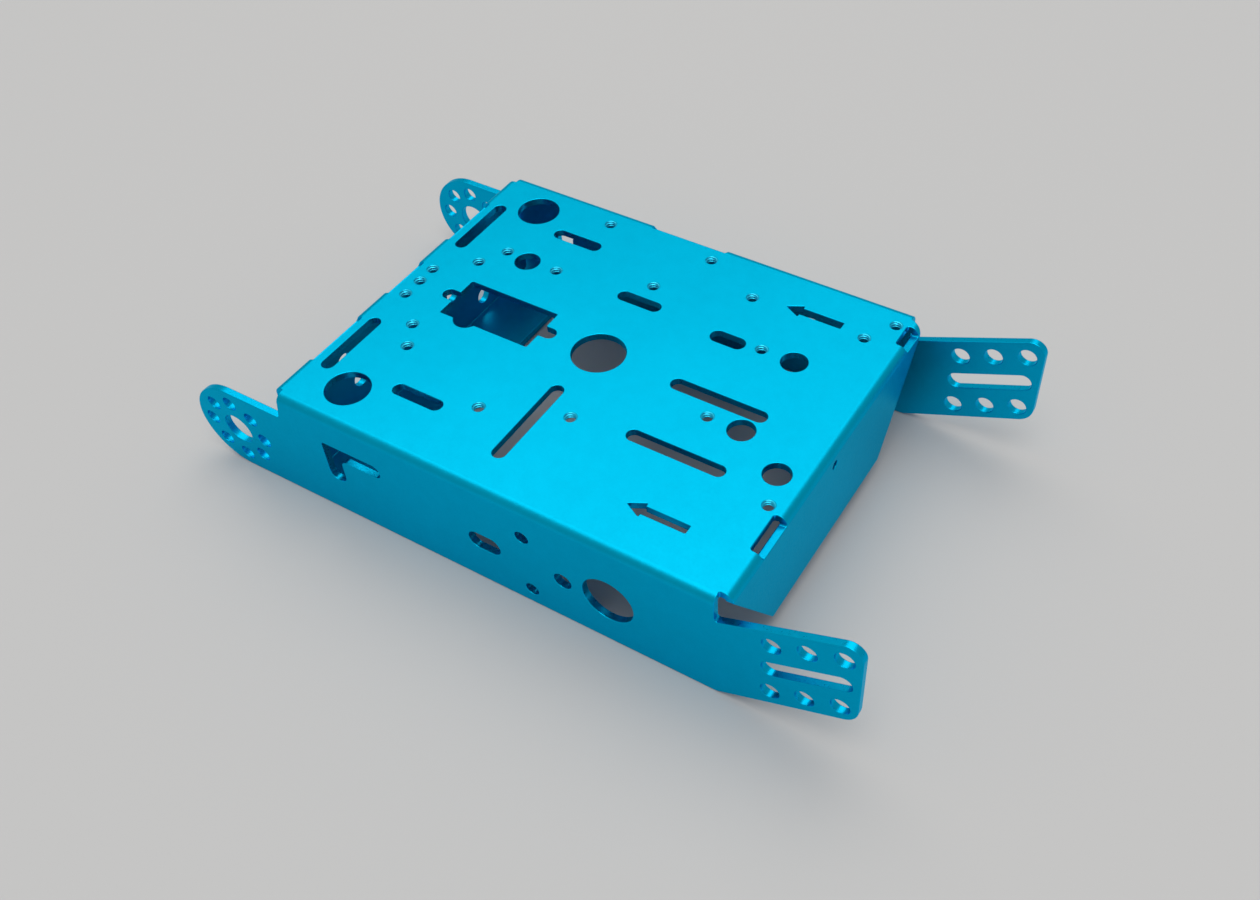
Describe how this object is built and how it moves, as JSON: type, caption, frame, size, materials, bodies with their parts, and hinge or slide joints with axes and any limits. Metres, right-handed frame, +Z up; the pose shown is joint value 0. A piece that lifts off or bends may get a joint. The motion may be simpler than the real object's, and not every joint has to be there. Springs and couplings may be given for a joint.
{
  "type": "tracked robot chassis plate",
  "caption": "Blue anodised folded sheet chassis for a tracked robot: slotted deck with servo opening, hanging sides, round motor lugs in front and rising slotted idler arms behind.",
  "frame": {"origin": "middle of the bounding box at the height of the lower edges, on which the chassis stands", "axes": "+X forward, towards the round motor lugs; +Y to the chassis's left; +Z up, out of the deck"},
  "size_m": [0.2772, 0.15, 0.0569],
  "materials": {
    "anodised_blue": "satin bead-blasted, anodised blue"
  },
  "bodies": {
    "root": {"deck_plate": "anodised_blue", "left_side_plate": "anodised_blue", "right_side_plate": "anodised_blue", "left_motor_lug": "anodised_blue", "right_motor_lug": "anodised_blue", "left_idler_arm": "anodised_blue", "right_idler_arm": "anodised_blue", "rear_flange": "anodised_blue", "front_flange": "anodised_blue", "front_floor_lip": "anodised_blue"}
  },
  "joints": []
}
